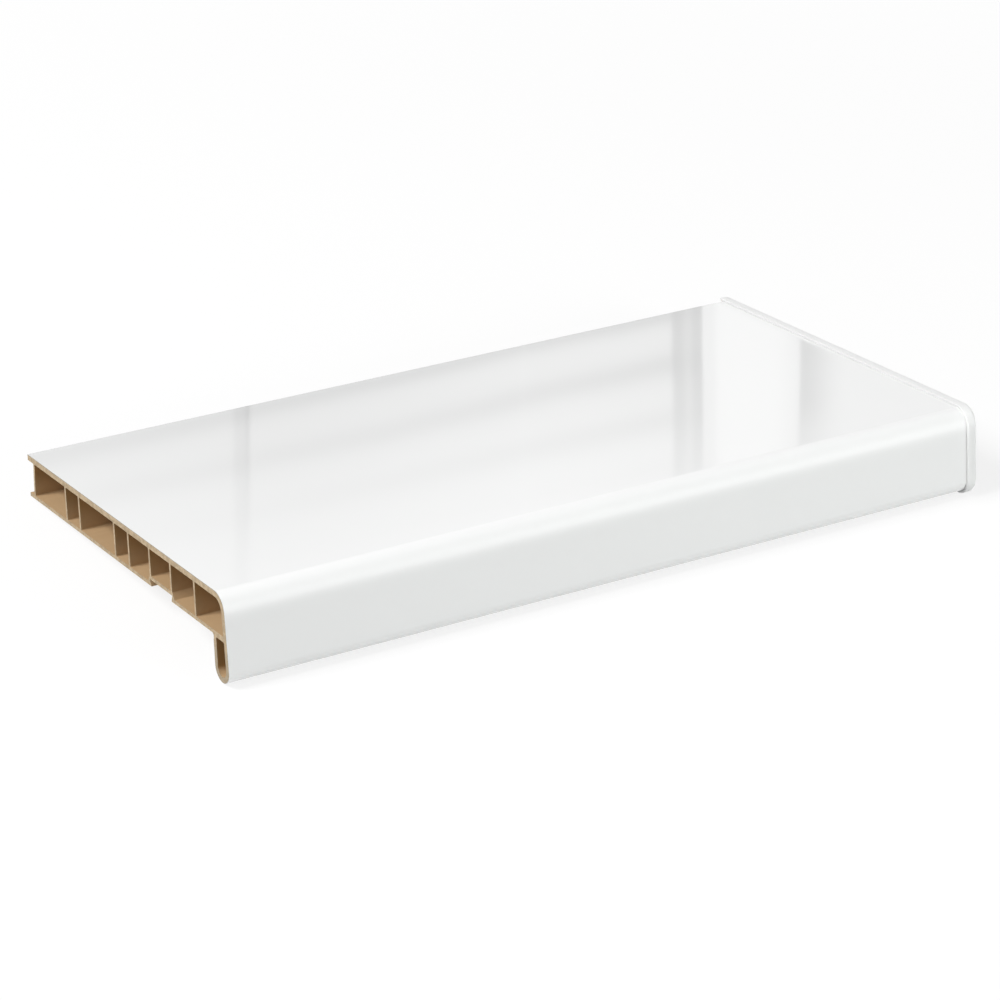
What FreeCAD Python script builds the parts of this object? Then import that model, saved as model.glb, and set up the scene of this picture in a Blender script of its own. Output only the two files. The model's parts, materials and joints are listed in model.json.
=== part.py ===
"""A window sill board: a short length of hollow wood-plastic profile with a white film face and a cap.

The board is drawn level, as it would be fitted under a window.
X runs along it from the sawn open end to the capped end.
Y runs back from the front of the nose, and Z is up from the foot of the lip.
At the end it is laid down as it rests unheld on a floor: on the foot of its lip and its back edge.
All lengths are millimetres and all angles are degrees.
"""
import FreeCAD, Part
import math
import os
import Sketcher

SHEET_NORMAL = FreeCAD.Vector(0, 0, 1)
SKETCH_ORIGIN = (-1, 1)
SAME_PLACE = 1e-4

SIZES = {
    # The extruded profile, without its film
    "board_length": 388.0,
    "board_depth": 200.0,
    "plate_thickness": 20.0,
    "nose_height": 40.0,
    "nose_radius": 8.0,
    "face_lean": 2.4,
    "lip_thickness": 12.2,
    "root_radius": 1.2,
    "top_wall": 2.5,
    "bottom_wall": 1.7,
    "web_wall": 1.4,
    "lip_wall": 2.3,
    "slot_roof": 2.6,
    "inside_round": 0.5,
    # Centre lines of the two webs nearest the back, measured forward from the back edge
    "web_a_to_back": 41.0,
    "web_b_to_back": 55.5,
    # Centre lines of the other upright webs, measured back from the front of the nose
    "web_c": 107.7,
    "web_d": 93.4,
    "web_e": 72.3,
    "web_f": 51.7,
    "web_g": 28.9,
    # The rebate along the back edge, deeper at its top because the back web leans
    "rebate_top": 6.0,
    "rebate_foot": 4.6,
    # The dovetail groove along the underside, below a raised floor between web_e and web_f
    "groove_mouth": 19.6,
    "groove_undercut": 1.0,
    "groove_depth": 3.0,
    # The white film, and how far below the plate it stops on the back of the lip
    "film": 0.3,
    "film_stop": 2.5,
    # The push-on cap
    "cap_plate": 1.5,
    "cap_rim": 1.2,
    "cap_lap": 4.2,
    "cap_gap": 0.1,
    "cap_overrun": 1.6,
    "cap_round": 2.0,
}


class Size:
    """A length that carries its number and the sheet formula that gives it."""

    def __init__(self, number, formula):
        self.number = number
        self.formula = formula

    def _with(self, other, sign, number):
        formula = other.formula if isinstance(other, Size) else repr(other)
        return Size(number, "(%s %s %s)" % (self.formula, sign, formula))

    def __add__(self, other):
        return self._with(other, "+", self.number + plain(other))

    def __sub__(self, other):
        return self._with(other, "-", self.number - plain(other))

    def __mul__(self, other):
        return self._with(other, "*", self.number * plain(other))

    def __truediv__(self, other):
        return self._with(other, "/", self.number / plain(other))


def plain(value):
    """The bare number of a Size, or a bare number as it is."""
    return value.number if isinstance(value, Size) else value


class Sheet:
    """The driving dimensions, and the levels that several pieces share."""

    def __init__(self, doc, sizes):
        cells = doc.addObject("Spreadsheet::Sheet", "sizes")
        for row, (name, number) in enumerate(sizes.items(), start=1):
            cells.set("A%d" % row, name)
            cells.set("B%d" % row, repr(number))
            cells.setAlias("B%d" % row, name)
            setattr(self, name, Size(number, "sizes.%s" % name))
        self.web_a = self.board_depth - self.web_a_to_back
        self.web_b = self.board_depth - self.web_b_to_back
        self.half_web = self.web_wall / 2
        self.lip_radius = self.lip_thickness / 2
        self.under = self.nose_height - self.plate_thickness
        self.floor = self.under + self.bottom_wall
        self.roof = self.nose_height - self.top_wall
        self.slot_top = self.floor - self.slot_roof
        self.on_film = self.film + self.cap_gap
        self.cap_start = self.board_length - self.cap_lap


def new_body(doc, name):
    """An empty body with the name of the piece it becomes."""
    body = doc.addObject("PartDesign::Body", name)
    body.Label = name
    return body


def cross_sketch(body, name, along=None):
    """A sketch square to the board, at its sawn end or at a distance along it."""
    sketch = body.newObject("Sketcher::SketchObject", name)
    plane = [item for item in body.Origin.OriginFeatures if item.Role == "YZ_Plane"][0]
    sketch.AttachmentSupport = [(plane, "")]
    sketch.MapMode = "FlatFace"
    if along is not None:
        sketch.AttachmentOffset = FreeCAD.Placement(FreeCAD.Vector(0, 0, along.number), FreeCAD.Rotation())
        sketch.setExpression("AttachmentOffset.Base.z", along.formula)
    return sketch


def tie(sketch, name, kind, place, size):
    """One named dimension of a sketch, bound to the sheet."""
    number = math.radians(size.number) if kind == "Angle" else size.number
    index = sketch.addConstraint(Sketcher.Constraint(kind, *place, number))
    sketch.renameConstraint(index, name)
    sketch.setExpression("Constraints.%s" % name, size.formula)


def put(sketch, name, point, across, height):
    """Holds a point of a sketch at a distance back from the nose and a height."""
    if across is not None:
        tie(sketch, name + "_back", "DistanceX", SKETCH_ORIGIN + point, across)
    if height is not None:
        tie(sketch, name + "_up", "DistanceY", SKETCH_ORIGIN + point, height)


def add_line(sketch, start, end):
    """A line of a sketch between two places."""
    ends = [FreeCAD.Vector(plain(place[0]), plain(place[1]), 0) for place in (start, end)]
    return sketch.addGeometry(Part.LineSegment(*ends), False)


def add_arc(sketch, centre, radius, start, end):
    """An arc of a sketch, anticlockwise between two angles."""
    middle = FreeCAD.Vector(plain(centre[0]), plain(centre[1]), 0)
    circle = Part.Circle(middle, SHEET_NORMAL, plain(radius))
    return sketch.addGeometry(Part.ArcOfCircle(circle, math.radians(start), math.radians(end)), False)


def join(sketch, kind, first, second):
    """Joins two ends, meeting at a corner or running smoothly on."""
    sketch.addConstraint(Sketcher.Constraint(kind, *first, *second))


def add_polygon(sketch, name, corners):
    """A closed outline through corners that are each held by the sheet."""
    count = len(corners)
    lines = [add_line(sketch, corners[i], corners[(i + 1) % count]) for i in range(count)]
    for i, line in enumerate(lines):
        join(sketch, "Coincident", (line, 2), (lines[(i + 1) % count], 1))
        put(sketch, "%s_%d" % (name, i), (line, 1), *corners[i])


def place_rounds(sheet):
    """Where the round foot of the lip and the round of the nose are centred, back from the nose and up.

    The foot's centre stands above the ground by its own radius.
    The nose's centre lies as far back as it must for the leaning face to touch both rounds.
    """
    sine = Size(math.sin(math.radians(sheet.face_lean.number)), "sin(sizes.face_lean * 1 deg)")
    cosine = Size(math.cos(math.radians(sheet.face_lean.number)), "cos(sizes.face_lean * 1 deg)")
    foot = (sheet.film + sheet.lip_radius, sheet.lip_radius)
    nose_up = sheet.nose_height - sheet.nose_radius
    shift = ((nose_up - foot[1]) * sine + sheet.nose_radius - sheet.lip_radius) / cosine
    return foot, (foot[0] + shift, nose_up)


def on_face(sheet, centre, radius):
    """The point where a round about a centre runs into the leaning face."""
    lean = math.radians(sheet.face_lean.number)
    forward = plain(radius) * math.cos(lean)
    rise = plain(radius) * math.sin(lean)
    return (plain(centre[0]) - forward, plain(centre[1]) + rise)


def add_nose(sketch, name, sheet, grow, top_end, lip_end):
    """The face of the board as an open path: its top, the nose, the front and the round foot of the lip.

    grow is how far the path lies outside the bare profile.
    Returns the top line and the line up the back of the lip, each with its free end open.
    """
    foot, nose = place_rounds(sheet)
    foot_radius = sheet.lip_radius + grow
    nose_radius = sheet.nose_radius + grow
    top_up = sheet.nose_height + grow
    face_turn = 180 - sheet.face_lean.number
    lip_back = foot[0] + foot_radius

    top = add_line(sketch, (top_end, top_up), (nose[0], top_up))
    bend = add_arc(sketch, nose, nose_radius, 90, face_turn)
    face = add_line(sketch, on_face(sheet, foot, foot_radius), on_face(sheet, nose, nose_radius))
    round_foot = add_arc(sketch, foot, foot_radius, face_turn, 360)
    back = add_line(sketch, (lip_back, foot[1]), (lip_back, lip_end))

    join(sketch, "Tangent", (top, 2), (bend, 1))
    join(sketch, "Tangent", (bend, 2), (face, 2))
    join(sketch, "Tangent", (face, 1), (round_foot, 1))
    join(sketch, "Tangent", (round_foot, 2), (back, 1))
    sketch.addConstraint(Sketcher.Constraint("Horizontal", top))
    sketch.addConstraint(Sketcher.Constraint("Vertical", back))
    tie(sketch, name + "_lean", "Angle", (face,), sheet.face_lean * -1 + 90)
    tie(sketch, name + "_bend", "Radius", (bend,), nose_radius)
    tie(sketch, name + "_foot", "Radius", (round_foot,), foot_radius)
    put(sketch, name + "_foot_centre", (round_foot, 3), *foot)
    put(sketch, name + "_top", (top, 1), top_end, top_up)
    put(sketch, name + "_lip", (back, 2), None, lip_end)
    return top, back


def add_section(sketch, sheet, grow, below, back_edge, root=None):
    """The whole outline of the board, grown by two amounts.

    grow is for the faces that carry the film and below is for the bare underside.
    root is the radius of the inner corner where the lip meets the plate, which is sharp without one.
    """
    under = sheet.under - below
    lip_end = under - root if root else under
    top, lip = add_nose(sketch, "face", sheet, grow, back_edge, lip_end)
    lip_back = sheet.film + sheet.lip_thickness + grow
    start = lip_back + root if root else lip_back
    floor = add_line(sketch, (start, under), (back_edge, under))
    end = add_line(sketch, (back_edge, under), (back_edge, sheet.nose_height + grow))
    if root:
        corner = add_arc(sketch, (start, lip_end), root, 90, 180)
        tie(sketch, "root", "Radius", (corner,), root)
        join(sketch, "Tangent", (lip, 2), (corner, 2))
        join(sketch, "Tangent", (corner, 1), (floor, 1))
    else:
        join(sketch, "Coincident", (lip, 2), (floor, 1))
    put(sketch, "underside", (floor, 2), back_edge, under)
    join(sketch, "Coincident", (floor, 2), (end, 1))
    join(sketch, "Coincident", (end, 2), (top, 1))


def add_nose_chamber(sketch, sheet):
    """The front chamber: its top corner follows the nose, and its front wall follows the leaning face."""
    nose = place_rounds(sheet)[1]
    radius = sheet.nose_radius - sheet.top_wall
    back = sheet.web_g - sheet.half_web
    face_top = on_face(sheet, nose, radius)
    drop = face_top[1] - sheet.floor.number
    face_foot = (face_top[0] - drop * math.tan(math.radians(sheet.face_lean.number)), sheet.floor)

    top = add_line(sketch, (back, sheet.roof), (nose[0], sheet.roof))
    bend = add_arc(sketch, nose, radius, 90, 180 - sheet.face_lean.number)
    face = add_line(sketch, face_foot, face_top)
    floor = add_line(sketch, face_foot, (back, sheet.floor))
    web = add_line(sketch, (back, sheet.floor), (back, sheet.roof))

    join(sketch, "Tangent", (top, 2), (bend, 1))
    join(sketch, "Tangent", (bend, 2), (face, 2))
    join(sketch, "Coincident", (face, 1), (floor, 1))
    join(sketch, "Coincident", (floor, 2), (web, 1))
    join(sketch, "Coincident", (web, 2), (top, 1))
    for line in (top, floor):
        sketch.addConstraint(Sketcher.Constraint("Horizontal", line))
    sketch.addConstraint(Sketcher.Constraint("Vertical", web))
    tie(sketch, "lean", "Angle", (face,), sheet.face_lean * -1 + 90)
    tie(sketch, "bend", "Radius", (bend,), radius)
    put(sketch, "bend_centre", (bend, 3), *nose)
    put(sketch, "corner", (floor, 2), back, sheet.floor)


def add_lip_slot(sketch, sheet):
    """The slot down the middle of the lip, with the lip's own round foot inside its wall."""
    foot = place_rounds(sheet)[0]
    radius = sheet.lip_radius - sheet.lip_wall
    front_foot = on_face(sheet, foot, radius)
    rise = sheet.slot_top.number - front_foot[1]
    front_top = (front_foot[0] + rise * math.tan(math.radians(sheet.face_lean.number)), sheet.slot_top)
    rear = foot[0] + radius

    front = add_line(sketch, front_foot, front_top)
    bend = add_arc(sketch, foot, radius, 180 - sheet.face_lean.number, 360)
    back = add_line(sketch, (rear, foot[1]), (rear, sheet.slot_top))
    top = add_line(sketch, front_top, (rear, sheet.slot_top))

    join(sketch, "Tangent", (front, 1), (bend, 1))
    join(sketch, "Tangent", (bend, 2), (back, 1))
    join(sketch, "Coincident", (front, 2), (top, 1))
    join(sketch, "Coincident", (back, 2), (top, 2))
    sketch.addConstraint(Sketcher.Constraint("Vertical", back))
    sketch.addConstraint(Sketcher.Constraint("Horizontal", top))
    tie(sketch, "lean", "Angle", (front,), sheet.face_lean * -1 + 90)
    tie(sketch, "bend", "Radius", (bend,), radius)
    put(sketch, "bend_centre", (bend, 3), *foot)
    put(sketch, "top", (back, 2), None, sheet.slot_top)


def add_chambers(sketch, sheet):
    """The seven chambers behind the nose: wide ones, narrow ones and the shallow one over the groove."""
    half = sheet.half_web
    floor = sheet.floor
    roof = sheet.roof
    raised = sheet.under + sheet.groove_depth + sheet.bottom_wall
    add_polygon(sketch, "back_wide", [
        (sheet.web_a + half, floor),
        (sheet.board_depth - sheet.rebate_foot - sheet.web_wall, floor),
        (sheet.board_depth - sheet.rebate_top - sheet.web_wall, roof),
        (sheet.web_a + half, roof),
    ])
    boxes = (
        ("back_narrow", sheet.web_b, sheet.web_a, floor),
        ("middle_wide", sheet.web_c, sheet.web_b, floor),
        ("middle_narrow", sheet.web_d, sheet.web_c, floor),
        ("over_groove", sheet.web_f, sheet.web_e, raised),
    )
    for name, front_web, back_web, level in boxes:
        add_polygon(sketch, name, [
            (front_web + half, level),
            (back_web - half, level),
            (back_web - half, roof),
            (front_web + half, roof),
        ])
    add_polygon(sketch, "behind_groove", [
        (sheet.web_e + half + sheet.groove_undercut * 2, floor),
        (sheet.web_d - half, floor),
        (sheet.web_d - half, roof),
        (sheet.web_e + half, roof),
        (sheet.web_e + half, raised),
    ])
    add_polygon(sketch, "before_groove", [
        (sheet.web_g + half, floor),
        (sheet.web_f - half - sheet.groove_undercut * 2, floor),
        (sheet.web_f - half, raised),
        (sheet.web_f - half, roof),
        (sheet.web_g + half, roof),
    ])


def add_rebate(sketch, sheet):
    """The rebate along the back edge, which leaves a flange of the top and of the bottom wall."""
    beyond = sheet.board_depth + sheet.film
    add_polygon(sketch, "rebate", [
        (beyond, sheet.floor),
        (beyond, sheet.roof),
        (sheet.board_depth - sheet.rebate_top, sheet.roof),
        (sheet.board_depth - sheet.rebate_foot, sheet.floor),
    ])


def add_groove(sketch, sheet):
    """The dovetail groove, wider at its top than at its mouth, midway between its two webs."""
    centre = (sheet.web_e + sheet.web_f) / 2
    mouth = sheet.groove_mouth / 2
    top = mouth + sheet.groove_undercut
    add_polygon(sketch, "groove", [
        (centre - mouth, sheet.under),
        (centre + mouth, sheet.under),
        (centre + top, sheet.under + sheet.groove_depth),
        (centre - top, sheet.under + sheet.groove_depth),
    ])


def pad(body, sketch, name, length):
    """Carries a section along the board."""
    feature = body.newObject("PartDesign::Pad", name)
    feature.Profile = sketch
    feature.Length = length.number
    feature.setExpression("Length", length.formula)
    body.Document.recompute()
    return feature


def pocket(body, sketch, name, length):
    """Cuts a section out along the board, and makes sure that it took something away."""
    before = body.Shape.Volume
    feature = body.newObject("PartDesign::Pocket", name)
    feature.Profile = sketch
    feature.Reversed = True
    feature.Length = length.number
    feature.setExpression("Length", length.formula)
    body.Document.recompute()
    if body.Shape.Volume >= before:
        raise RuntimeError("%s cut nothing" % name)
    return feature


def fillet(body, name, picks, radius):
    """Rounds the picked edges."""
    base = body.Tip
    feature = body.newObject("PartDesign::Fillet", name)
    feature.Base = (base, picks)
    feature.Radius = radius.number
    feature.setExpression("Radius", radius.formula)
    body.Document.recompute()
    return feature


def rebate_at(sheet, up):
    """How far back the leaning wall of the rebate stands at a height."""
    climb = (up - sheet.floor.number) / (sheet.roof - sheet.floor).number
    forward = sheet.rebate_foot + (sheet.rebate_top - sheet.rebate_foot) * climb
    return (sheet.board_depth - forward).number


def chamber_corners(shape, sheet):
    """The names of the long inside edges where the walls of a chamber or of the slot meet at an angle."""
    picks = []
    box = shape.BoundBox
    for index, edge in enumerate(shape.Edges, start=1):
        middle = edge.BoundBox.Center
        along = edge.BoundBox.XLength > sheet.board_length.number / 2
        faces = shape.ancestorsOfType(edge, Part.Face)
        if not along or len(faces) != 2:
            continue
        walls = [face.normalAt(*face.Surface.parameter(middle)) for face in faces]
        angled = walls[0].getAngle(walls[1]) > math.radians(15)
        in_plate = sheet.under.number + SAME_PLACE < middle.z < box.ZMax - SAME_PLACE
        inside = in_plate and middle.y < rebate_at(sheet, middle.z) - sheet.half_web.number
        groove_top = (sheet.under + sheet.groove_depth).number
        in_groove = sheet.floor.number < middle.z < groove_top + SAME_PLACE
        in_slot = abs(middle.z - sheet.slot_top.number) < SAME_PLACE
        if angled and (in_slot or (inside and not in_groove)):
            picks.append("Edge%d" % index)
    return picks


def make_profile(doc, sheet):
    """The tan extrusion: one piece, with eight long chambers, a slot in its lip and two grooves."""
    body = new_body(doc, "hollow_profile")
    outline = cross_sketch(body, "board_section")
    bare = Size(0.0, "0")
    add_section(outline, sheet, bare, bare, sheet.board_depth, sheet.root_radius)
    pad(body, outline, "board_bar", sheet.board_length)
    cuts = (
        ("back_rebate", add_rebate),
        ("underside_groove", add_groove),
        ("chambers", add_chambers),
        ("nose_chamber", add_nose_chamber),
        ("lip_slot", add_lip_slot),
    )
    for name, draw in cuts:
        section = cross_sketch(body, name)
        draw(section, sheet)
        pocket(body, section, name + "_cut", sheet.board_length)
    fillet(body, "inside_corners", chamber_corners(body.Shape, sheet), sheet.inside_round)
    return body


def make_film(doc, sheet):
    """The white film: a thin skin laid over the top, the nose and the front, and round the lip."""
    body = new_body(doc, "cover_film")
    strip = cross_sketch(body, "film_strip")
    bare = Size(0.0, "0")
    lip_end = sheet.under - sheet.film_stop
    outer_top, outer_lip = add_nose(strip, "outer", sheet, sheet.film, sheet.board_depth, lip_end)
    inner_top, inner_lip = add_nose(strip, "inner", sheet, bare, sheet.board_depth, lip_end)
    lip_back = sheet.film + sheet.lip_thickness
    back = add_line(strip, (sheet.board_depth, sheet.nose_height + sheet.film),
                    (sheet.board_depth, sheet.nose_height))
    stop = add_line(strip, (lip_back + sheet.film, lip_end), (lip_back, lip_end))
    join(strip, "Coincident", (back, 1), (outer_top, 1))
    join(strip, "Coincident", (back, 2), (inner_top, 1))
    join(strip, "Coincident", (stop, 1), (outer_lip, 2))
    join(strip, "Coincident", (stop, 2), (inner_lip, 2))
    pad(body, strip, "film_bar", sheet.board_length)
    return body


def outer_edges(shape, back_edge):
    """The names of the edges round the outer end of the cap, but for the upright one at its back."""
    picks = []
    for index, edge in enumerate(shape.Edges, start=1):
        box = edge.BoundBox
        at_end = box.XMin > shape.BoundBox.XMax - SAME_PLACE
        at_back = box.YMin > back_edge.number - SAME_PLACE
        if at_end and not at_back:
            picks.append("Edge%d" % index)
    return picks


def make_cap(doc, sheet):
    """The moulded end cap: a plate with a rim that laps over the board and is open at the back."""
    body = new_body(doc, "end_cap")
    outline = cross_sketch(body, "cap_section", sheet.cap_start)
    outside = sheet.on_film + sheet.cap_rim
    below = sheet.cap_gap + sheet.cap_rim
    back_edge = sheet.board_depth + sheet.cap_overrun
    add_section(outline, sheet, outside, below, back_edge)
    pad(body, outline, "cap_block", sheet.cap_lap + sheet.cap_plate)
    recess = cross_sketch(body, "cap_recess", sheet.cap_start)
    add_section(recess, sheet, sheet.on_film, sheet.cap_gap, back_edge + sheet.cap_rim, sheet.root_radius)
    pocket(body, recess, "cap_recess_cut", sheet.cap_lap)
    fillet(body, "cap_edge", outer_edges(body.Shape, back_edge), sheet.cap_round)
    return body


def rest_turn(sheet):
    """How far the board leans back when the round foot of its cap and the cap's back edge are on a floor."""
    foot = place_rounds(sheet)[0]
    radius = (sheet.lip_radius + sheet.on_film + sheet.cap_rim).number
    back = (sheet.board_depth + sheet.cap_overrun - foot[0]).number
    up = (sheet.under - sheet.cap_gap - sheet.cap_rim - foot[1]).number
    return math.degrees(math.atan2(up, back) + math.asin(radius / math.hypot(back, up)))


def lay_down(bodies, sheet):
    """Turns every piece to the pose the board rests in, with the origin under its middle on the floor."""
    turn = FreeCAD.Rotation(FreeCAD.Vector(1, 0, 0), -rest_turn(sheet))
    shapes = []
    for body in bodies:
        shape = body.Shape.copy()
        shape.Placement = FreeCAD.Placement(FreeCAD.Vector(0, 0, 0), turn)
        shapes.append(shape)
    box = Part.makeCompound(shapes).optimalBoundingBox(False, False)
    base = FreeCAD.Vector(-box.Center.x, -box.Center.y, -box.ZMin)
    for body in bodies:
        body.Placement = FreeCAD.Placement(base, turn)


def check_sound(doc, bodies):
    """Stops on any failed object and on any piece that isn't one valid solid."""
    for item in doc.Objects:
        if "Invalid" in item.State or "Error" in item.State:
            raise RuntimeError("%s failed" % item.Name)
    for body in bodies:
        if body.Shape.isNull() or not body.Shape.isValid() or len(body.Shape.Solids) != 1:
            raise RuntimeError("%s is not one sound solid" % body.Label)


def main():
    doc = FreeCAD.newDocument("window_sill_board")
    sheet = Sheet(doc, SIZES)
    doc.recompute()
    bodies = [make(doc, sheet) for make in (make_profile, make_film, make_cap)]
    doc.recompute()
    lay_down(bodies, sheet)
    doc.recompute()
    check_sound(doc, bodies)
    os.makedirs("parts", exist_ok=True)
    for body in bodies:
        body.Shape.exportStep("parts/%s.step" % body.Label)
        box = body.Shape.optimalBoundingBox(False, False)
        print(body.Label, round(body.Shape.Volume, 1), box)
    print("leans back", round(rest_turn(sheet), 3))


main()
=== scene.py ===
# %% [markdown]
# This is a short length of window sill board. A tan wood-plastic section comes out of a die with its
# hollow chambers already in it, a white gloss film is laid over its face, and a white cap is pushed
# on to one end. The CAD model holds the three pieces at their real size. Here they get their finish,
# and the two glossy ones are made again as finer surfaces, because a mirror-like film shows every facet.

# %% Load the model
import json
import math

import bpy
import numpy as np
from mathutils import Matrix, Vector


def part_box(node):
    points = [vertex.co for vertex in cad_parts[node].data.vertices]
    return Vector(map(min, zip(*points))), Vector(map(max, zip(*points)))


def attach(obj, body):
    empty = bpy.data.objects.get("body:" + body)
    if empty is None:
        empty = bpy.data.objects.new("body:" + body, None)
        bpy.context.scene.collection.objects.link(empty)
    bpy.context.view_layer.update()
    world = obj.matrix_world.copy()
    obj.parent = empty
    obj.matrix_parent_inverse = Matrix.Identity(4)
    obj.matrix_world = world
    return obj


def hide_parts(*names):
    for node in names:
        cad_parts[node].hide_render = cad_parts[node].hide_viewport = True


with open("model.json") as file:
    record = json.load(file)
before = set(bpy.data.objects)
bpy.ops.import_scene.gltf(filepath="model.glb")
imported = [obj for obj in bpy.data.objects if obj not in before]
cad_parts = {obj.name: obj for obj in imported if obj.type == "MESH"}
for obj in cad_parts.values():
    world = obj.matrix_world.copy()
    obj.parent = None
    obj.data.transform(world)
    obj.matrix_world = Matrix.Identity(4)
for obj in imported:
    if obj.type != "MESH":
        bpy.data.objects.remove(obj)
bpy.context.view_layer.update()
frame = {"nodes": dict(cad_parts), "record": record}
MM = 0.001
print("pieces:", sorted(frame["nodes"]))

# %% [markdown]
# The board leans back a little, because it rests on its lip and its back edge. It is easier to think
# about it level, as it would be fitted: so many millimetres along, back from the nose, and up. The
# record says which way the back edge faces, and the box of the film says where the round foot of the
# lip is. Those two facts place the level board exactly.

# %% The board's own directions
FILM = 0.3
LIP_THICKNESS = 12.2
LIP_RADIUS = LIP_THICKNESS / 2
FOOT_RADIUS = LIP_RADIUS + FILM

mounts = {mount["name"]: mount for mount in frame["record"]["mounts"]}
along_way = np.array([1.0, 0.0, 0.0])
back_way = np.array(mounts["back_edge"]["axis"], dtype=float)
back_way = back_way / np.linalg.norm(back_way)
up_way = np.cross(along_way, back_way)
ways = np.stack([along_way, back_way, up_way])
film_low = np.array(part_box("cover_film")[0])
foot_centre = np.array([film_low[0], film_low[1] + FOOT_RADIUS * MM, film_low[2] + FOOT_RADIUS * MM])
board_start = foot_centre - (back_way * FOOT_RADIUS + up_way * LIP_RADIUS) * MM


def place(along, back, up):
    """Where a point of the level board is in the world.

    The start of the board, plus along, back and up times the directions they are measured in.
    Any of the three may be an array.
    """
    along, back, up = np.broadcast_arrays(along, back, up)
    return board_start + np.stack([along, back, up], axis=-1) * MM @ ways


lean_back = math.asin(-back_way[2])
LEVEL_FOOT = float(up_way @ board_start)
print("the board leans back %.2f degrees" % math.degrees(lean_back))

# %% [markdown]
# The camera comes next, so that every later step can be looked at. A lens of 120 mm from well back
# gives the flat, calm perspective of a catalogue picture: parallel edges barely draw together. Its
# place and angles are given against the level board and then turned with it.

# %% The camera
VIEW_FROM = (-536.93, -1136.23, 576.02)
VIEW_TURN = math.radians(30.471)
VIEW_DOWN = math.radians(21.618)
VIEW_ROLL = math.radians(1.517)
SENSOR = 36.0
LENS = 120.12


def view_axes():
    """Right, up and back of the camera: a turn to the right and an angle down, then a roll about it."""
    level = np.array([math.sin(VIEW_TURN), math.cos(VIEW_TURN), 0.0])
    forward = level * math.cos(VIEW_DOWN) - np.array([0.0, 0.0, math.sin(VIEW_DOWN)])
    right = np.array([math.cos(VIEW_TURN), -math.sin(VIEW_TURN), 0.0])
    upward = np.cross(right, forward)
    rolled_right = right * math.cos(VIEW_ROLL) - upward * math.sin(VIEW_ROLL)
    rolled_up = upward * math.cos(VIEW_ROLL) + right * math.sin(VIEW_ROLL)
    return np.stack([rolled_right, rolled_up, -forward]) @ ways


def make_camera():
    """Puts the lens at its place, with the three axes as the columns of its matrix."""
    matrix = np.eye(4)
    matrix[:3, :3] = view_axes().T
    matrix[:3, 3] = place(*VIEW_FROM)
    data = bpy.data.cameras.new("camera")
    data.sensor_width = SENSOR
    data.lens = LENS
    camera = bpy.data.objects.new("camera", data)
    bpy.context.scene.collection.objects.link(camera)
    camera.matrix_world = Matrix(matrix.tolist())
    bpy.context.scene.camera = camera
    return camera


camera = make_camera()
print("camera at", [round(value, 3) for value in camera.matrix_world.translation])

# %% [markdown]
# The whole section is one line: back along the top, round the nose, down the leaning face, round the
# foot of the lip, up its back and away under the plate. Every skin of this board is that same line
# moved outwards a little, so one function draws it for any distance, always with the same number of
# points, and the skins can then be joined row to row.

# %% The section line
NOSE_HEIGHT = 40.0
PLATE = 20.0
DEPTH = 200.0
NOSE_RADIUS = 8.0
FACE_LEAN = math.radians(2.4)
NOSE_CENTRE = (9.387, NOSE_HEIGHT - NOSE_RADIUS)
LIP_CENTRE = (FILM + LIP_RADIUS, LIP_RADIUS)
LIP_BACK = FILM + LIP_THICKNESS
NOSE_STEPS = 56
LIP_STEPS = 84
ROOT_STEPS = 10
INNER_ROOT = 1.2
SUPPORT = 0.8


def arc(centre, radius, start, end, steps):
    """Points of an arc: the centre plus the radius times the cosine and sine of an even run of angles."""
    angles = np.linspace(start, end, steps + 1)
    return np.stack([centre[0] + radius * np.cos(angles), centre[1] + radius * np.sin(angles)], axis=-1)


def section_line(outside, under, root, back_end, lip_stop=None):
    """The section's outline, moved outwards, as (back, up) points from the top's back end to the plate.

    The top and the lip move out by outside, and the underside of the plate down by under. The corner
    between lip and plate is an arc of radius root. Straight runs keep a support point beside each arc,
    so that smooth shading leaves the flats flat. With lip_stop the line ends at that height up the
    back of the lip.
    """
    turn = math.pi - FACE_LEAN
    nose = arc(NOSE_CENTRE, NOSE_RADIUS + outside, math.pi / 2, turn, NOSE_STEPS)
    lip = arc(LIP_CENTRE, LIP_RADIUS + outside, turn, 2 * math.pi, LIP_STEPS)
    face = (lip[0] - nose[-1]) / np.linalg.norm(lip[0] - nose[-1])
    top = np.array([[back_end, NOSE_HEIGHT + outside], [nose[0, 0] + SUPPORT, NOSE_HEIGHT + outside]])
    front = np.stack([nose[-1] + face * SUPPORT, lip[0] - face * SUPPORT])
    lip_back = LIP_BACK + outside
    if lip_stop is not None:
        rise = np.array([[lip_back, LIP_RADIUS + SUPPORT], [lip_back, lip_stop]])
        return np.concatenate([top, nose, front, lip, rise])
    level = PLATE - under
    corner = arc((lip_back + root, level - root), root, math.pi, math.pi / 2, ROOT_STEPS)
    rise = np.array([[lip_back, LIP_RADIUS + SUPPORT], [lip_back, corner[0, 1] - SUPPORT / 2]])
    below = np.array([[corner[-1, 0] + SUPPORT / 2, level], [back_end, level]])
    return np.concatenate([top, nose, front, lip, rise, corner, below])


film_line = section_line(FILM, 0.0, INNER_ROOT, DEPTH)
print("section line:", len(film_line), "points, lowest", round(film_line[:, 1].min(), 2))

# %% [markdown]
# Rows of points become a skin by joining each point to its neighbour in the row and in the next row.
# Written once for whole arrays, this makes both the film and the cap.

# %% Skins from rows
SHARP_ANGLE = math.radians(32)


def quads(rows, columns, closed=False):
    """Corner numbers of the faces between rows: (i, j), (i, j+1), (i+1, j+1), (i+1, j)."""
    across = columns if closed else columns - 1
    i, j = np.meshgrid(np.arange(rows - 1), np.arange(across), indexing="ij")
    next_j = (j + 1) % columns
    corners = [i * columns + j, i * columns + next_j, (i + 1) * columns + next_j, (i + 1) * columns + j]
    return np.stack(corners, axis=-1).reshape(-1, 4)


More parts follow.
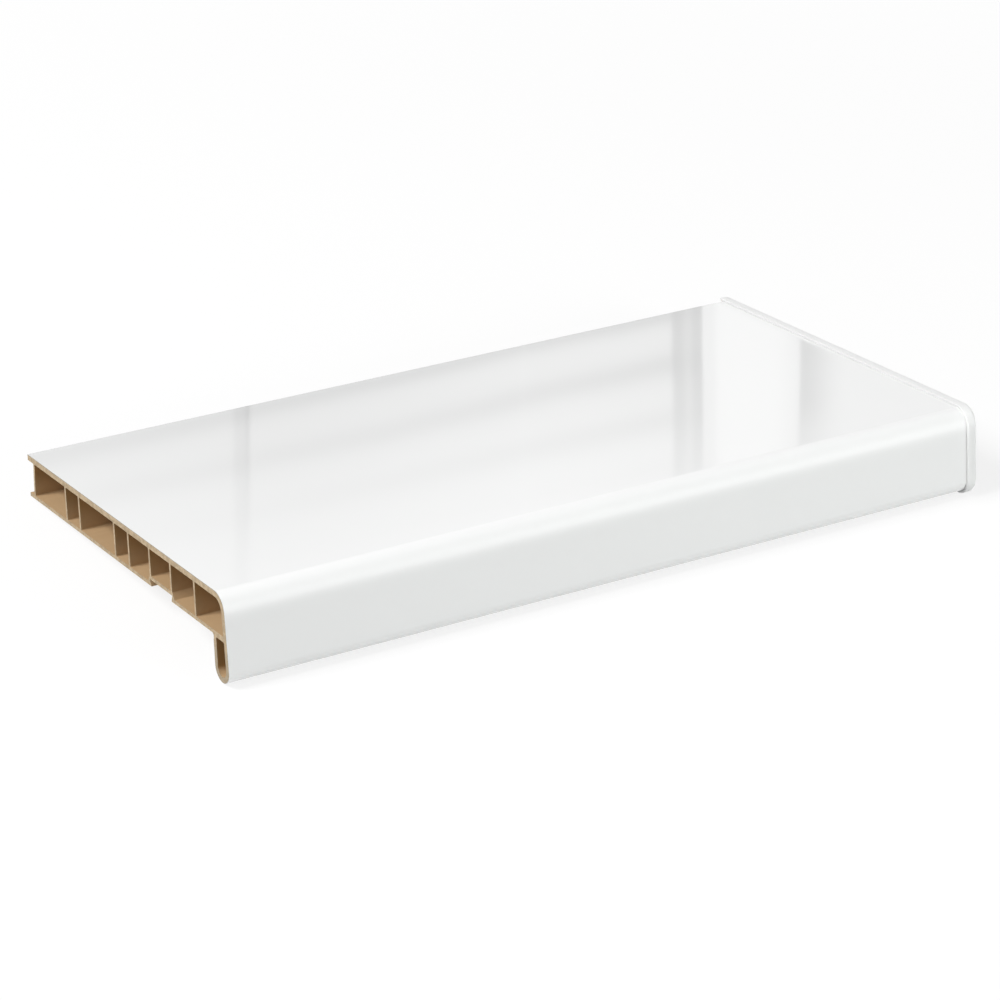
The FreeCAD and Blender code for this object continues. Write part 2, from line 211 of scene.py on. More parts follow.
def add_piece(name, points, faces, replaced):
    """Makes the mesh with smooth faces and sharp corners, in place of a CAD node, riding with the board."""
    mesh = bpy.data.meshes.new(name)
    mesh.from_pydata(points.reshape(-1, 3).tolist(), [], [list(map(int, face)) for face in faces])
    mesh.shade_smooth()
    mesh.set_sharp_from_angle(angle=SHARP_ANGLE)
    if mesh.validate():
        print(name, "needed repair")
    piece = bpy.data.objects.new(name, mesh)
    bpy.context.scene.collection.objects.link(piece)
    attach(piece, "root")
    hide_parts(replaced)
    print(name, len(mesh.vertices), "points,", len(mesh.polygons), "faces")
    return piece


# %% [markdown]
# The film is a real skin, 0.3 mm thick. It runs from the back edge over the nose and down the face, is
# turned under the round lip, and stops just short of the plate. Its outer and inner lines make a closed
# ring, and the ring is carried straight along the board.

# %% The white film
LENGTH = 388.0
FILM_END = 17.5
SAWN_SUPPORT = 4.0
CAP_SUPPORT = 12.0


def film_face():
    """A ring made of the outer line and the inner line backwards, carried along x, with both ends closed."""
    outer = section_line(FILM, 0.0, INNER_ROOT, DEPTH, FILM_END)
    inner = section_line(0.0, 0.0, INNER_ROOT, DEPTH, FILM_END)
    ring = np.concatenate([outer, inner[::-1]])
    stations = np.array([0.0, SAWN_SUPPORT, LENGTH - CAP_SUPPORT, LENGTH])
    points = place(stations[:, None], ring[None, :, 0], ring[None, :, 1])
    faces = [list(face) for face in quads(len(stations), len(ring), closed=True)]
    near = np.arange(len(outer) - 1)
    far_side = len(ring) - 1 - near
    start = np.stack([near, far_side, far_side - 1, near + 1], axis=-1)
    last = (len(stations) - 1) * len(ring)
    end = start[:, ::-1] + last
    faces += [list(face) for face in start] + [list(face) for face in end]
    return add_piece("film_face", points, faces, "cover_film")


film = film_face()

# %% [markdown]
# The cap is one moulding: a plate over the end of the board and a thin rim that laps back over it. It
# is made as rows too. The first row is the inside of the plate, the rows then come out along the inside
# of the rim, turn over its edge, go back along the outside and roll over the rounded edge of the plate.
# The rim closes on the film over its last millimetre, which is how such a cap grips. Along the top its
# edge is crisp and a little undercut, and round the nose and down the face it is softly rounded.
# The back of the rim is open, so those ends are closed with flat faces of their own.

# %% The end cap
CAP_PLATE = 1.5
CAP_RIM = 1.2
CAP_LAP = 4.2
CAP_GAP = 0.1
CAP_OVERRUN = 1.6
CAP_ROUND = 2.0
GRIP = 0.095
GRIP_STARTS = 1.0
GRIP_FULL = 0.6
RIM_ROUND = 0.90
RIM_CRISP = 0.10
RIM_STEPS = 7
UNDERCUT = 0.25
ROOT_ROUND = 0.5
ROUND_SUPPORT = 0.4
FACE_SUPPORT = 0.3
OUTER_STEPS = 3
ROUND_STEPS = 9
RIM_START = LENGTH - CAP_LAP
CAP_OUTSIDE = LENGTH + CAP_PLATE


def cap_row(along, gap, root):
    """One row of the cap: the section line a gap outside the film, ending in line with the cap's back."""
    line = section_line(FILM + gap, gap, root, DEPTH + CAP_OVERRUN)
    return place(along, line[:, 0], line[:, 1])


def outer_row(along, inset):
    """A row of the outside, moved in from its largest outline by inset."""
    return cap_row(along, CAP_GAP + CAP_RIM - inset, ROOT_ROUND + inset)


def below_top_share():
    """Nought along the top of the section, rising to one as far down as the nose's radius, then one."""
    up = section_line(FILM, 0.0, ROOT_ROUND, DEPTH)[:, 1]
    return np.clip((NOSE_HEIGHT + FILM - up) / NOSE_RADIUS, 0.0, 1.0)


def inside_rows(below_top):
    """From the inside of the plate out along the rim, which closes by GRIP and is cut back under the top."""
    grip = CAP_GAP - GRIP
    undercut = (UNDERCUT * (1.0 - below_top))[:, None] * along_way * MM
    return [cap_row(LENGTH, CAP_GAP, INNER_ROOT),
            cap_row(RIM_START + GRIP_STARTS, CAP_GAP, INNER_ROOT),
            cap_row(RIM_START + GRIP_FULL, grip, INNER_ROOT),
            cap_row(RIM_START, grip, INNER_ROOT) + undercut]


def rim_rows(below_top):
    """A quarter turn over the rim's edge.

    Each row lies a radius times one minus the sine of the angle inwards, and the same radius times one
    minus the cosine along. The radius grows from crisp on the top to round on the face.
    """
    edge = outer_row(RIM_START, 0.0)
    inward = outer_row(RIM_START, 1.0) - edge
    radius = (RIM_CRISP + (RIM_ROUND - RIM_CRISP) * below_top)[:, None]
    return [edge + inward * radius * (1 - math.sin(angle)) + along_way * MM * radius * (1 - math.cos(angle))
            for angle in np.linspace(0.0, math.pi / 2, RIM_STEPS)]


def rounded_rows():
    """A quarter turn from the outside of the rim over on to the plate, with a row where the plate begins."""
    at_plate = math.asin(1 - CAP_PLATE / CAP_ROUND)
    angles = np.append(np.linspace(0.0, at_plate, OUTER_STEPS),
                       np.linspace(at_plate, math.pi / 2, ROUND_STEPS)[1:])
    return [outer_row(CAP_OUTSIDE - CAP_ROUND * (1 - math.sin(angle)), CAP_ROUND * (1 - math.cos(angle)))
            for angle in angles]


print("cap: the rim begins %.1f mm along and the plate ends at %.1f mm" % (RIM_START, CAP_OUTSIDE))

# %% [markdown]
# The rows are joined like the film's. Five flat faces close the rest: the inside and the outside of the
# plate, the two open ends of the rim, and the edge of the plate between them. The plate's rounded edge
# gets a strip for each row behind that.

# %% The cap from its rows
def cap_moulding():
    """Rows from the inside of the plate, round the rim's edge, and over the plate's rounded outside."""
    below_top = below_top_share()
    rows = inside_rows(below_top) + rim_rows(below_top)
    rows.append(outer_row(CAP_OUTSIDE - CAP_ROUND - ROUND_SUPPORT, 0.0))
    rows += rounded_rows()
    wall_start = len(rows) - ROUND_STEPS
    rows.append(outer_row(CAP_OUTSIDE, CAP_ROUND + FACE_SUPPORT))
    points = np.stack(rows)
    count, columns = points.shape[:2]
    first = np.arange(count) * columns
    last = first + columns - 1
    faces = [list(face) for face in quads(count, columns)]
    faces.append(list(range(columns))[::-1])
    faces.append(list(range((count - 1) * columns, count * columns)))
    faces.append(list(first[:wall_start + 1]))
    faces.append(list(last[:wall_start + 1][::-1]))
    faces.append([first[0], first[wall_start], first[wall_start + 1],
                  last[wall_start + 1], last[wall_start], last[0]])
    for i in range(wall_start + 1, count - 1):
        faces.append([first[i], first[i + 1], last[i + 1], last[i]])
    return add_piece("cap_moulding", points, faces, "end_cap")


cap = cap_moulding()

# %% [markdown]
# Materials are written as sums. A Value is a number or a colour on its way through the shader, and
# adding or multiplying two of them adds the Math node that does it. That keeps the reasoning in view:
# "grain * 0.2 + 0.6" is easier to read than two nodes and three links.

# %% A small language for shaders
class Value:
    """A socket's output, with arithmetic that adds Math nodes."""

    def __init__(self, finish, socket):
        self.finish = finish
        self.socket = socket

    def math(self, operation, *values, clamp=False):
        settings = {"operation": operation, "use_clamp": clamp}
        return self.finish.node("ShaderNodeMath", settings, dict(enumerate(values)))

    def __add__(self, other):
        return self.math("ADD", self, other)

    def __sub__(self, other):
        return self.math("SUBTRACT", self, other)

    def __rsub__(self, other):
        return self.math("SUBTRACT", other, self)

    def __mul__(self, other):
        return self.math("MULTIPLY", self, other)

    def __pow__(self, other):
        return self.math("POWER", self, other)

    def __abs__(self):
        return self.math("ABSOLUTE", self)

    def above(self, level):
        return self.math("GREATER_THAN", self, level)

    def below(self, level):
        return self.math("LESS_THAN", self, level)

    def cosine(self):
        return self.math("COSINE", self)

    def at_least(self, level):
        return self.math("MAXIMUM", self, level)

    def rise(self, start, end, low=0.0, high=1.0):
        """A smooth step from low to high as this value goes from start to end."""
        steps = {"Value": self, "From Min": start, "From Max": end, "To Min": low, "To Max": high}
        return self.finish.node("ShaderNodeMapRange", {"interpolation_type": "SMOOTHSTEP"}, steps)

    def stripe(self, centre, half, soft):
        """One inside a stripe of this value, nought outside it, with soft edges."""
        return abs(self - centre).rise(half + soft, half - soft)

    __radd__ = __add__
    __rmul__ = __mul__


print("sums for shaders:", len([name for name in vars(Value) if name.startswith("__r")]), "reflected forms")

# %% [markdown]
# A Finish is the material that those sums are written into. Every other node comes from its one method,
# which takes the node's kind, its settings and what goes into its sockets. The patterns are measured on
# the level board, because grain, drawn lines and saw marks follow the board and not the floor.

# %% A material being written
class Finish:
    """A material or a world being written, with one method that adds any node."""

    def __init__(self, name, world=False):
        self.owner = bpy.data.worlds.new(name) if world else bpy.data.materials.new(name)
        self.owner.use_nodes = True
        self.tree = self.owner.node_tree
        self.tree.nodes.clear()
        kind = "ShaderNodeOutputWorld" if world else "ShaderNodeOutputMaterial"
        self.output = self.tree.nodes.new(kind)

    def node(self, kind, settings=None, inputs=None, output=0):
        """Adds a node, gives it its settings, then its values or links, and returns one output."""
        made = self.tree.nodes.new(kind)
        for key, setting in (settings or {}).items():
            setattr(made, key, setting)
        for key, value in (inputs or {}).items():
            self.feed(made.inputs[key], value)
        return Value(self, made.outputs[output])

    def feed(self, socket, value):
        """Links a Value to the socket, or sets the socket to a number or a colour."""
        if isinstance(value, Value):
            self.tree.links.new(value.socket, socket)
        elif isinstance(value, tuple) and socket.type == "RGBA":
            socket.default_value = (*value, 1.0)
        else:
            socket.default_value = value

    def coordinates(self):
        """Where a point lies in its own object, in metres."""
        return self.node("ShaderNodeTexCoord", output="Object")

    def axes(self):
        """The three object coordinates, as Values."""
        vector = {"Vector": self.coordinates()}
        return [self.node("ShaderNodeSeparateXYZ", None, vector, output=name) for name in "XYZ"]

    def level_place(self, stretch=(1.0, 1.0, 1.0)):
        """Object coordinates turned back to the level board, then stretched along each direction."""
        turned = self.node("ShaderNodeMapping", {"vector_type": "POINT"},
                           {"Vector": self.coordinates(), "Rotation": (lean_back, 0.0, 0.0)})
        return self.node("ShaderNodeMapping", None, {"Vector": turned, "Scale": stretch})

    def level_up(self):
        """The height on the level board, in metres, from the foot of its lip."""
        vector = {"Vector": self.level_place()}
        return self.node("ShaderNodeSeparateXYZ", None, vector, output="Z") - LEVEL_FOOT

    def noise(self, scale, detail, roughness, stretch=(1.0, 1.0, 1.0)):
        """Soft random spots, so many to the metre along the level board's directions."""
        inputs = {"Vector": self.level_place(stretch), "Scale": scale, "Detail": detail,
                  "Roughness": roughness}
        return self.node("ShaderNodeTexNoise", None, inputs)

    def blend(self, amount, first, second):
        """A colour between two colours."""
        return self.node("ShaderNodeMix", {"data_type": "RGBA"}, {0: amount, 6: first, 7: second}, output=2)

    def bump(self, height, distance, strength, below=None):
        """Makes a surface look raised by height times distance, on top of the bump below it."""
        inputs = {"Height": height, "Distance": distance, "Strength": strength}
        if below is not None:
            inputs["Normal"] = below
        return self.node("ShaderNodeBump", None, inputs)

    def seen_as_white(self):
        """One for a ray from the camera, a gloss or a clear material, nought for a ray of diffuse light."""
        rays = [self.node("ShaderNodeLightPath", output=name)
                for name in ("Is Camera Ray", "Is Glossy Ray", "Is Transmission Ray")]
        return rays[2].math("ADD", rays[0] + rays[1], rays[2], clamp=True)

    def show(self, shader):
        """Links the shader to the output, and returns the finished material or world."""
        self.tree.links.new(shader.socket, self.output.inputs["Surface"])
        print("finish:", self.owner.name, len(self.tree.nodes), "nodes")
        return self.owner


# %% [markdown]
# Wood-plastic is ground wood in a plastic binder. The die polishes it, so the walls of the chambers
# are smooth tan with faint lines drawn along the board. Towards their roofs and inside the lip the tan
# is painted darker, as painted shade where little light comes. The saw tears it, so the cut end is
# duller and drier, with flecks of wood in it and fine parallel marks, and darker and greyer down at
# the lip. One material does both, with a mask that finds the sawn end by where it is. Its heights are
# metres up on the level board.

# %% Wood-plastic
SAWN_DEPTH = 0.00004
SAWN_PLANE = float(film_low[0]) + SAWN_DEPTH
CHAMBER_FLOOR_TO_ROOF = (0.0225, 0.0360)
LIP_CHAMBER_ROOF = (0.0195, 0.0185)
LIP_CHAMBER_FLOOR = (0.0040, 0.0060)
CUT_OF_THE_LIP = (0.0170, 0.0120)
SHADE_SHARE = 0.72
LOW_GREY_SHARE = 0.5
FLECKS_ABOVE = 0.66
SAW_MARKS = 330.0
TAN = (0.515, 0.360, 0.208)
TAN_DARK = (0.450, 0.300, 0.163)
TAN_SHADED = (0.325, 0.170, 0.045)
CUT_PALE = (0.508, 0.400, 0.266)
CUT_TAN = (0.310, 0.235, 0.152)
CUT_GREY_LOW = (0.290, 0.255, 0.196)
FLECK = (0.330, 0.205, 0.105)


def wood_plastic():
    """Polished tan walls, and where x is below the sawn plane a torn, flecked and marked cut."""
    finish = Finish("wood_plastic_finish")
    sawn = finish.axes()[0].below(SAWN_PLANE)
    drawn = finish.noise(420.0, 4.0, 0.6, (0.02, 1.0, 1.0))
    clouds = finish.noise(28.0, 3.0, 0.5, (0.5, 1.0, 1.0))
    wall = finish.blend(drawn * 0.55 + clouds * 0.45, TAN_DARK, TAN)
    up = finish.level_up()
    # Painted shade: the tan is painted darker towards the chambers' roofs and inside the lip chamber.
    roof_and_lip_shade = up.rise(*CHAMBER_FLOOR_TO_ROOF) + up.rise(*LIP_CHAMBER_ROOF) * up.rise(*LIP_CHAMBER_FLOOR)
    wall = finish.blend(roof_and_lip_shade * SHADE_SHARE, wall, TAN_SHADED)
    grain = finish.noise(900.0, 5.0, 0.7)
    flecks = finish.noise(1500.0, 2.0, 0.5, (1.0, 0.45, 1.0))
    mottle = finish.noise(420.0, 3.0, 0.6).rise(0.36, 0.64)
    cut = finish.blend(grain * 0.45 + mottle * 0.55, CUT_TAN, CUT_PALE)
    # The cut is blended darker and greyer towards the bottom, down at the lip.
    cut = finish.blend(up.rise(*CUT_OF_THE_LIP) * LOW_GREY_SHARE, cut, CUT_GREY_LOW)
    cut = finish.blend(flecks.above(FLECKS_ABOVE) * 0.55, cut, FLECK)
    marks = finish.node("ShaderNodeTexWave", {"wave_type": "BANDS", "bands_direction": "Y"},
                        {"Vector": finish.level_place(), "Scale": SAW_MARKS, "Distortion": 2.2,
                         "Detail": 2.0, "Detail Scale": 1.5})
    relief = sawn * (marks * 0.5 + grain) + (1.0 - sawn) * drawn * 0.5
    shader = finish.node("ShaderNodeBsdfPrincipled", None, {
        "Base Color": finish.blend(sawn, wall, cut),
        "Roughness": sawn * 0.30 + 0.50,
        "IOR": 1.45,
        "Specular IOR Level": 0.2,
        "Normal": finish.bump(relief, 0.00012, 0.55),
    })
    return finish.show(shader)


# %% [markdown]
# The film is what sells the board: white, hard and nearly as glossy as glass. It reflects a window
# clearly, but the board under it is never quite flat, so straight reflections wander a little.
# A fine noise makes the very slight peel of a laminated film, and a long soft one the wandering.
# In the corner where the film meets the cap's rim, a breath of painted shade greys the white.

# %% The film's gloss
FILM_WHITE = (0.872, 0.874, 0.873)
FILM_GREY = (0.860, 0.863, 0.861)
FILM_CUT = (0.330, 0.300, 0.250)
SHADE_GREY = (0.620, 0.620, 0.615)
CORNER_SHADE_REACH = 0.0035
CORNER_SHADE_ON_FILM = 0.05
RIM_END = float(place(RIM_START, 0.0, 0.0)[0])


def white_film():
    """A white base under a clear coat, with a fine peel on a long swell, and dull where it is sawn."""
    finish = Finish("white_film_finish")
    waves = finish.noise(9.0, 1.0, 0.4, (0.35, 1.0, 1.0))
    peel = finish.noise(650.0, 2.0, 0.5)
    swell = finish.bump(waves, 0.0008, 0.35)
    sawn = finish.axes()[0].below(SAWN_PLANE)
    white = finish.blend(finish.noise(14.0, 2.0, 0.5), FILM_WHITE, FILM_GREY)
    # Painted shade: the white is greyed over the last few millimetres before the cap's rim.
    shade_mask = finish.axes()[0].rise(RIM_END - CORNER_SHADE_REACH, RIM_END) * CORNER_SHADE_ON_FILM
    white = finish.blend(shade_mask, white, SHADE_GREY)
    shader = finish.node("ShaderNodeBsdfPrincipled", None, {
        "Base Color": finish.blend(sawn, white, FILM_CUT),
        "Roughness": peel * 0.02 + 0.03 + sawn * 0.5,
        "IOR": 1.5,
        "Coat Weight": 1.0 - sawn,
        "Coat Roughness": 0.02,
        "Coat IOR": 1.5,
        "Normal": finish.bump(peel, 0.000008, 0.4, swell),
    })
    return finish.show(shader)


# %% [markdown]
# The cap is moulded in solid plastic and left as the mould made it, so it is a touch greyer and more
# satin than the film beside it. That small difference is what makes the joint between them readable.
# Along the top, the very edge of its rim is painted greyer, as painted shade that tones down the light on
# its end.

# %% The cap's satin
CAP_WHITE = (0.828, 0.830, 0.826)
CAP_GREY = (0.808, 0.811, 0.807)
RIM_EDGE = 0.0003
RIM_TOP = (0.0390, 0.0402)
RIM_END_SHADE = 0.45


def cap_plastic():
    """A white that lets light a little way in, under a fine satin grain."""
    finish = Finish("cap_plastic_finish")
    skin = finish.noise(1100.0, 3.0, 0.6)
    white = finish.blend(finish.noise(40.0, 2.0, 0.5), CAP_WHITE, CAP_GREY)
    # Painted shade: the end of the rim along the top is blended towards grey.
    shade_mask = finish.axes()[0].below(RIM_END + RIM_EDGE) * finish.level_up().rise(*RIM_TOP)
    shader = finish.node("ShaderNodeBsdfPrincipled", None, {
        "Base Color": finish.blend(shade_mask * RIM_END_SHADE, white, SHADE_GREY),
        "Roughness": skin * 0.10 + 0.27,
        "IOR": 1.48,
        "Subsurface Weight": 0.6,
        "Subsurface Radius": (1.0, 1.0, 1.0),
        "Subsurface Scale": 0.0015,
        "Normal": finish.bump(skin, 0.00002, 0.35),
    })
    return finish.show(shader)


finishes = {"wood_plastic": wood_plastic(), "white_film": white_film(), "cap_plastic": cap_plastic()}


def dress(piece, slot):
    """Takes off the pale stand-in material and puts the slot's finish on."""
    piece.data.materials.clear()
    piece.data.materials.append(finishes[slot])


dress(frame["nodes"]["hollow_profile"], "wood_plastic")
dress(frame["nodes"]["cover_film"], "white_film")
dress(frame["nodes"]["end_cap"], "cap_plastic")
dress(film, "white_film")
dress(cap, "cap_plastic")

# %% [markdown]
# A plain pale floor and backdrop. They are painted white for the camera and for the gloss, with the
# Light Path node, so the picture has a white ground without any extra light falling on the board. Near
# the board the floor keeps part of its real shade, which is where the soft shadow comes from.

# %% Floor and surroundings
FLOOR_HALF = 4.0
FLOOR_BOUNCE = (0.48, 0.48, 0.48)
FLOOR_SEEN = (0.97, 0.97, 0.97)
SHADOW_KEPT = 0.19
SHADOW_REACH = (1.10, 0.45)
SKY_LIGHT = 0.24
WHITE = (1.0, 1.0, 1.0)


def stage_sheet(name, corners, material):
    """One flat sheet of the studio, which isn't part of the object."""
    mesh = bpy.data.meshes.new(name)
    mesh.from_pydata(corners, [], [tuple(range(len(corners)))])
    mesh.materials.append(material)
    sheet = bpy.data.objects.new(name, mesh)
    bpy.context.scene.collection.objects.link(sheet)
    return sheet


def floor_paint():
    """White where it is seen, but near the board a share of it is the painted floor with its real shade."""
    finish = Finish("floor_paint")
    seen = finish.seen_as_white()
    paint = {"Color": finish.blend(seen, FLOOR_BOUNCE, FLOOR_SEEN)}
    painted = finish.node("ShaderNodeBsdfDiffuse", None, paint)
    white = finish.node("ShaderNodeEmission", None, {"Color": WHITE, "Strength": 1.0})
    x, y = finish.axes()[:2]
    near = ((x * x + y * y) ** 0.5).rise(*SHADOW_REACH)
    shown = seen * (1.0 - near * SHADOW_KEPT)
    return finish.show(finish.node("ShaderNodeMixShader", None, {0: shown, 1: painted, 2: white}))


def studio_air():
    """White where it is seen, and only SKY_LIGHT as strong where it lights."""
    sky = Finish("studio_air", world=True)
    strength = sky.seen_as_white() * (1.0 - SKY_LIGHT) + SKY_LIGHT
    air = sky.node("ShaderNodeBackground", None, {"Color": WHITE, "Strength": strength})
    bpy.context.scene.world = sky.show(air)


stage_sheet("floor", [(-FLOOR_HALF, -FLOOR_HALF, 0), (FLOOR_HALF, -FLOOR_HALF, 0),
                      (FLOOR_HALF, FLOOR_HALF, 0), (-FLOOR_HALF, FLOOR_HALF, 0)], floor_paint())
studio_air()

# %% [markdown]
# Gloss only shows if there is something to reflect. Behind the board stands a sheet that only glossy
# rays can see, painted like a tall window. From left to right it has a thin glazing bar, a cord, a
# broad bar of two halves, a bright pane beyond that and then the edge of a curtain. Low down on its
# left part lie the soft slanting shadows of a blind's slats. The film picks it all up as the long pale
# bands that make it look wet and smooth. The pattern is measured across the sheet and up it, in metres,
# and each of its upright lines leans a little: so far across for each metre up.

# %% The window's pattern
WINDOW_TURN = math.radians(30.5)
BAR_LEANS = {"left": 0.10, "right": 0.055}
BARS = (
    ("left", -0.2325, 0.0065, 0.0030, 0.10, 0.10),
    ("left", -0.2255, 0.0025, 0.0015, 0.00, 0.26),
    ("right", 0.1760, 0.0150, 0.0025, 0.10, 0.16),
    ("right", 0.1672, 0.0050, 0.0030, 0.06, 0.07),
    ("right", 0.1852, 0.0050, 0.0030, 0.06, 0.07),
)
CORD_LEAN = 0.077
CORD = (0.0282, 0.0015, 0.0008)
SLAT_FALL = 0.155
SLAT_GAP = 0.0512
SLAT_FIRST = 0.394
SLAT_WANDER = 0.012
SLATS_UP = (0.14, 0.32)
SLATS_OUT = (0.62, 0.36)
SLATS_BY_THE_BAR = (0.166, 0.158)
SLATS_PAST_THE_BAR = 0.25


def slat_shadows(finish, across, up, right_bar):
    """Slanting stripes: a cosine of the height plus a share of the way across, sharpened by a power."""
    wander = finish.node("ShaderNodeTexNoise", None,
                         {"Vector": finish.coordinates(), "Scale": 7.0, "Detail": 1.0})
    slant = up + across * SLAT_FALL + wander * SLAT_WANDER - SLAT_FIRST
    stripes = ((slant * (2 * math.pi / SLAT_GAP)).cosine() * 0.5 + 0.5) ** 2.2
    before_bar = right_bar.rise(*SLATS_BY_THE_BAR, SLATS_PAST_THE_BAR, 1.0)
    return stripes * up.rise(*SLATS_OUT) ** 1.5 * up.rise(*SLATS_UP) * before_bar


def bar_shadows(lines, low):
    """The sum of the bars: each a soft stripe, so dark everywhere and so much darker low down."""
    shadows = [lines[side].stripe(centre, half, soft) * (low * darker_low + dark)
               for side, centre, half, soft, dark, darker_low in BARS]
    return sum(shadows[1:], shadows[0])


print("window pattern:", len(BARS), "bars, slats", round(SLAT_GAP * 1000, 1), "mm apart")

# %% The window's glow
CURTAIN_LEAN = 0.068
PAST_THE_BAR = (0.1885, 0.1915)
PANE_EDGE = (0.2855, 0.2905)
PANE_BRIGHTENS = (0.199, 0.207)
PANE_FADES = (0.262, 0.288)
CURTAIN_FADES = (0.5, 1.0)
CURTAIN_FOLD = (0.332, 0.289)
CURTAIN_LOW = (0.50, 0.46)
LOW_PART = ((0.62, 0.40), (0.12, 0.30))
LEFT_PART = (-1.00, -0.50)


def window_beyond(glow, up, right_bar, curtain_edge):
    """Right of the bar the glow gives way to a bright pane, and past the edge to a curtain that darkens."""
    past_bar = right_bar.rise(*PAST_THE_BAR)
    curtain = curtain_edge.rise(*PANE_EDGE)
    pane = past_bar * curtain_edge.rise(*PANE_EDGE[::-1])
    bright = 0.97 + right_bar.rise(*PANE_BRIGHTENS) * 0.17 - curtain_edge.rise(*PANE_FADES) * 0.14
    fold = curtain_edge.rise(*CURTAIN_FOLD) * (up.rise(*CURTAIN_LOW) * 0.20 + 0.26)
    cloth = 0.97 - curtain_edge.rise(*CURTAIN_FADES) * 0.28 - fold
    return glow * (1.0 - past_bar) + pane * bright + curtain * cloth


def window_paint():
    """A glow that grows to the right, less a low shade, the slats and the bars, and the parts beyond."""
    finish = Finish("window_paint")
    x, y, up = finish.axes()
    across = x * math.cos(WINDOW_TURN) - y * math.sin(WINDOW_TURN)
    lines = {side: across + up * lean for side, lean in BAR_LEANS.items()}
    left_part = across.rise(*LEFT_PART)
    low = up.rise(*LOW_PART[0]) * up.rise(*LOW_PART[1]) * left_part
    slats = slat_shadows(finish, across, up, lines["right"]) * left_part
    cord = (across + up * CORD_LEAN).stripe(*CORD)
    glow = 0.88 + across.rise(-0.28, 0.06) * 0.24 - low * 0.28 - slats * 0.36
    glow = glow - up.rise(0.32, 0.10) * 0.08 - across.rise(-0.8, -2.4) * 0.20
    glow = glow - bar_shadows(lines, low) + cord * 0.07
    glow = window_beyond(glow, up, lines["right"], across + up * CURTAIN_LEAN)
    light = finish.node("ShaderNodeEmission", None, {"Color": WHITE, "Strength": glow.at_least(0.0)})
    return finish.show(light)


# %% [markdown]
# The sheet stands upright across the direction in which the film's mirror image looks, far enough away
# to be out of the picture. It is wide, so that its left end meets a card that comes later and no hard
# edge of it shows in the gloss.

# %% The window's sheet
WINDOW_AWAY = 1.6
WINDOW_HALF = 2.95
WINDOW_HIGH = 2.4


def gloss_only(sheet):
    """Hides a sheet from everything but the gloss."""
    sheet.visible_camera = False
    sheet.visible_diffuse = False
    sheet.visible_shadow = False
    sheet.visible_transmission = False


def upright_sheet(name, start, end, foot, high, material):
    """A sheet on the line between two places on the floor, from foot to high, for the gloss alone."""
    corners = [(*start, foot), (*end, foot), (*end, high), (*start, high)]
    gloss_only(stage_sheet(name, corners, material))


def window_end(sideways):
    """The middle of the sheet, WINDOW_AWAY outwards, plus so far sideways."""
    return (math.sin(WINDOW_TURN) * WINDOW_AWAY + math.cos(WINDOW_TURN) * sideways,
            math.cos(WINDOW_TURN) * WINDOW_AWAY - math.sin(WINDOW_TURN) * sideways)


upright_sheet("window_sheet", window_end(-WINDOW_HALF), window_end(WINDOW_HALF), 0.0, WINDOW_HIGH,
              window_paint())

# %% [markdown]
# The nose needs a highlight of its own. A card stands close in front of it, as bright as the floor at
# its foot, much brighter a few centimetres up, and a soft grey above that. Again only the gloss sees it.
# The lower half of the nose mirrors the bright part, which gives the pale band along the front edge.
# Seen from behind, the top mirrors the grey part and keeps its shape against the white ground.

# %% A card for the nose
CARD_AT = -0.135
CARD_FOOT = 0.001
CARD_HIGH = 0.9
CARD_HALF = 1.6
CARD_GLOW = 2.25
CARD_GREY = 0.46
GLOW_STARTS = (0.0205, 0.0270)
GLOW_ENDS = (0.080, 0.047)
GREY_STARTS = (0.066, 0.125)


def card_paint():
    """One, plus the extra glow between its start and end, less the grey above."""
    finish = Finish("card_paint")
    up = finish.axes()[2]
    bright = up.rise(*GLOW_STARTS) * up.rise(*GLOW_ENDS)
    strength = bright * (CARD_GLOW - 1.0) + 1.0 - up.rise(*GREY_STARTS) * CARD_GREY
    return finish.show(finish.node("ShaderNodeEmission", None, {"Color": WHITE, "Strength": strength}))


upright_sheet("nose_card", (-CARD_HALF, CARD_AT), (CARD_HALF, CARD_AT), CARD_FOOT, CARD_HIGH, card_paint())

# %% [markdown]
# Seen from the ends or from above, the gloss would mirror the bare white surroundings, and the board
# would melt into them. Two soft grey cards at the ends and one overhead keep its top a shade darker
# than the ground behind it. Again only the gloss sees them.

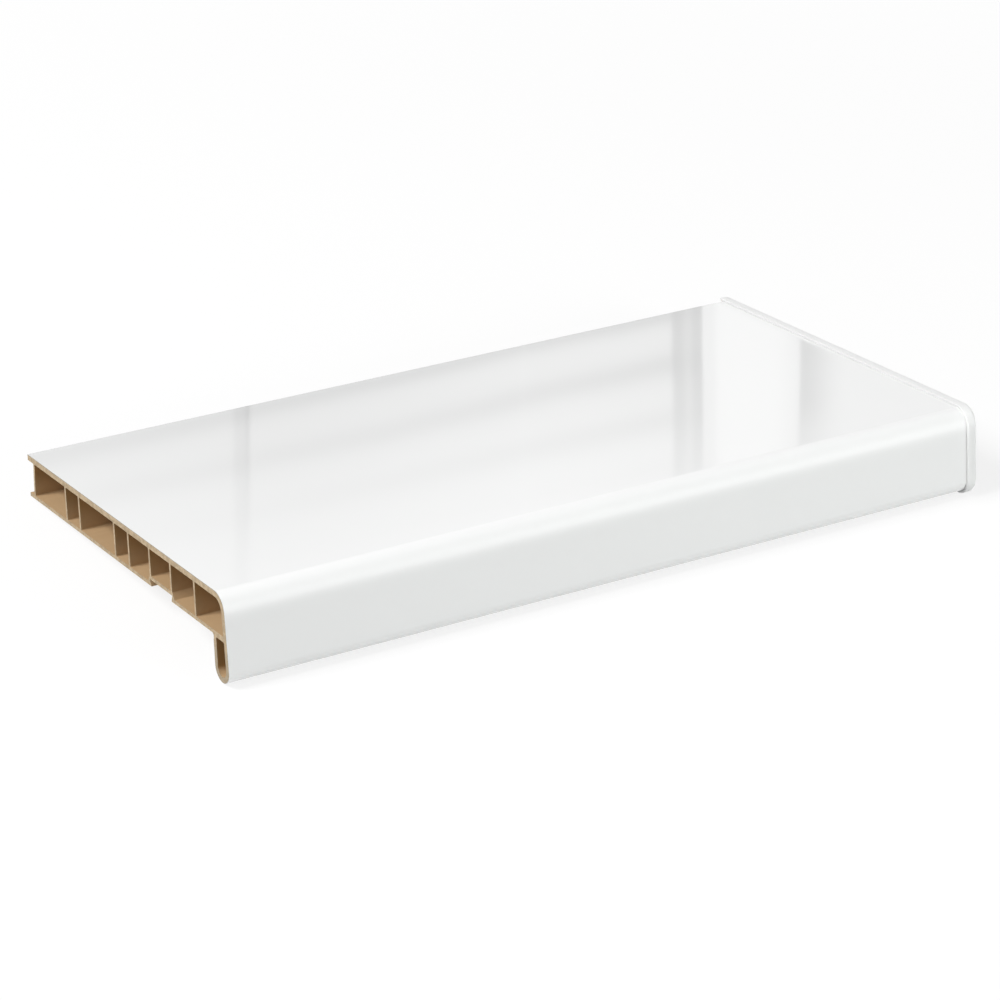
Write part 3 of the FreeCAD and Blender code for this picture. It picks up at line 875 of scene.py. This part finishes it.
# %% Cards at the ends and overhead
CARDS_AWAY = 1.7
CARDS_HIGH = 2.45
CARDS_FRONT = -1.8
RIGHT_BACK = 0.85
LEFT_BACK = 2.86
OVERHEAD_BACK = 1.5
GREY_AT_FOOT = 0.60
GREY_GAIN = 0.14
GREY_UP_TO = 1.4


def grey_paint():
    """A grey that grows a little lighter from the floor up."""
    finish = Finish("grey_paint")
    strength = finish.axes()[2].rise(0.0, GREY_UP_TO) * GREY_GAIN + GREY_AT_FOOT
    return finish.show(finish.node("ShaderNodeEmission", None, {"Color": WHITE, "Strength": strength}))


grey = grey_paint()
for side, back in ((-CARDS_AWAY, LEFT_BACK), (CARDS_AWAY, RIGHT_BACK)):
    upright_sheet("end_card", (side, CARDS_FRONT), (side, back), CARD_FOOT, CARDS_HIGH, grey)
overhead = [(-CARDS_AWAY, CARDS_FRONT, CARDS_HIGH), (CARDS_AWAY, CARDS_FRONT, CARDS_HIGH),
            (CARDS_AWAY, OVERHEAD_BACK, CARDS_HIGH), (-CARDS_AWAY, OVERHEAD_BACK, CARDS_HIGH)]
gloss_only(stage_sheet("overhead_card", overhead, grey))

# %% [markdown]
# Three soft lamps. The largest stands high on the left and a little behind, as a window would, and
# reaches into the chambers from above, so that their floors are bright and the walls that face the
# front stay dark. One fills in the face of the board from the front right, and a weak one from the
# left lifts the sawn end and the thin line where the cap's rim begins.

# %% Lamps
def add_lamp(name, position, size, power, shade=WHITE):
    """A soft square lamp that faces the middle of the board and isn't mirrored in it."""
    data = bpy.data.lights.new(name, "AREA")
    data.size = size
    data.energy = power
    data.color = shade
    lamp = bpy.data.objects.new(name, data)
    lamp.rotation_euler = (-Vector(position)).to_track_quat("-Z", "Y").to_euler()
    lamp.location = position
    lamp.visible_camera = False
    lamp.visible_glossy = False
    bpy.context.scene.collection.objects.link(lamp)
    print("lamp:", name, power, "W")


add_lamp("window_light", (-3.20, 0.52, 3.20), 1.9, 219.0)
add_lamp("front_fill", (1.00, -1.85, 0.30), 1.0, 28.0, (0.972, 1.0, 0.982))
add_lamp("side_fill", (-2.40, -0.60, 0.40), 1.0, 7.5)

bpy.context.scene.view_settings.view_transform = "Standard"
